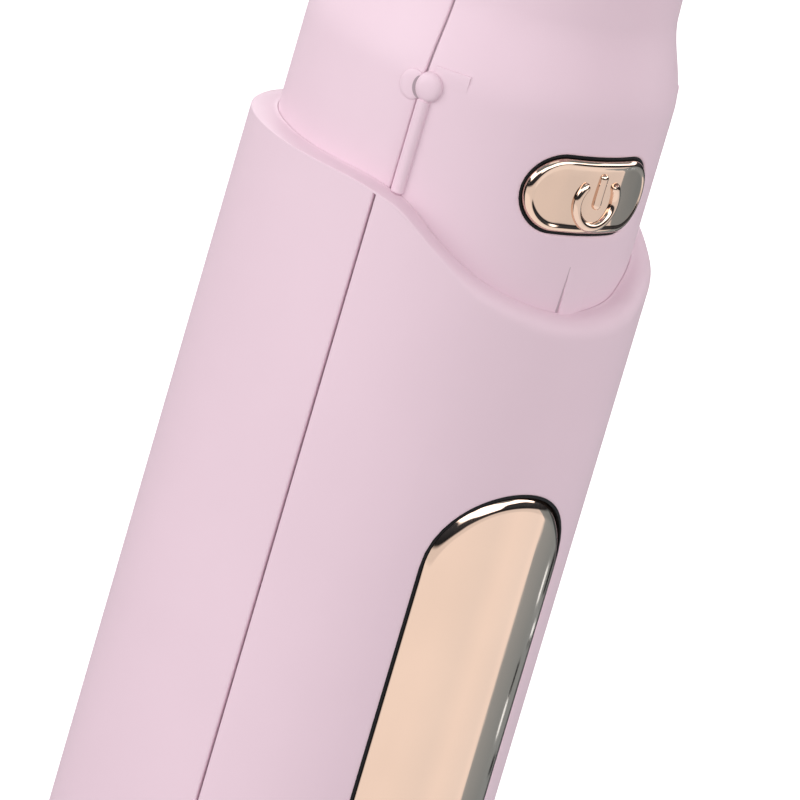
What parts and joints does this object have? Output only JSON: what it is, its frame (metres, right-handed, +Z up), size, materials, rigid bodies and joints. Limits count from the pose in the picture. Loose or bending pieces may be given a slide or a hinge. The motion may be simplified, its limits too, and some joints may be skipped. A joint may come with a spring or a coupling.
{
  "type": "hair crimper",
  "caption": "Cordless hair crimper with a round handle, a scooped rim, a power button, ridged plates and a spring clamp with a thumb lever.",
  "frame": {"origin": "centre of the flat base", "axes": "+Z up the handle towards the jaws' tips; the power button, the inlay and the thumb lever face -Y"},
  "size_m": [0.042, 0.0592, 0.29],
  "materials": {
    "soft_touch_pink": "soft-touch matte",
    "rose_gold": "polished rose gold",
    "dark_plastic": "moulded heat-resistant plastic",
    "steel": "plated",
    "circuit_board": "solder mask",
    "cell_wrap": "shrink wrap",
    "ceramic": "unglazed ceramic",
    "crimp_plate": "ceramic-coated aluminium",
    "lead_sleeve": "silicone"
  },
  "bodies": {
    "handle_body": {"handle_front_shell": "soft_touch_pink", "handle_back_shell": "soft_touch_pink", "handle_rim": "soft_touch_pink", "inlay_panel": "rose_gold", "end_cap": "soft_touch_pink", "cap_screws": "steel", "usb_port": "steel", "charge_board": "circuit_board", "battery_cell": "cell_wrap", "battery_holder": "dark_plastic", "battery_tabs": "steel", "collar_front_shell": "soft_touch_pink", "collar_back_shell": "soft_touch_pink", "cross_pin": "steel", "switch_frame": "dark_plastic", "control_board": "circuit_board", "tact_switch": "dark_plastic", "fixed_jaw": "soft_touch_pink", "fixed_carrier": "dark_plastic", "fixed_heater": "ceramic", "fixed_plate": "crimp_plate", "hinge_pin": "steel", "clamp_spring": "steel", "heater_leads": "lead_sleeve", "arm_screws": "steel"},
    "button": {"power_button": "rose_gold"},
    "clamp": {"clamp_jaw": "soft_touch_pink", "clamp_carrier": "dark_plastic", "clamp_heater": "ceramic", "clamp_plate": "crimp_plate", "thumb_lever": "soft_touch_pink"}
  },
  "joints": [
    {"name": "clamp_hinge", "type": "hinge", "parent": "handle_body", "child": "clamp", "pos_m": [0, -0.01, 0.193], "axis": [1, 0, 0], "range_deg": [0, 22], "stiffness_Nm_per_rad": 0.35, "springref_deg": -34.38, "deforming": ["clamp_spring"]},
    {"name": "button_press", "type": "slide", "parent": "handle_body", "child": "button", "axis": [0, 1, 0], "range_m": [0, 0.0006], "stiffness_N_per_m": 400}
  ]
}
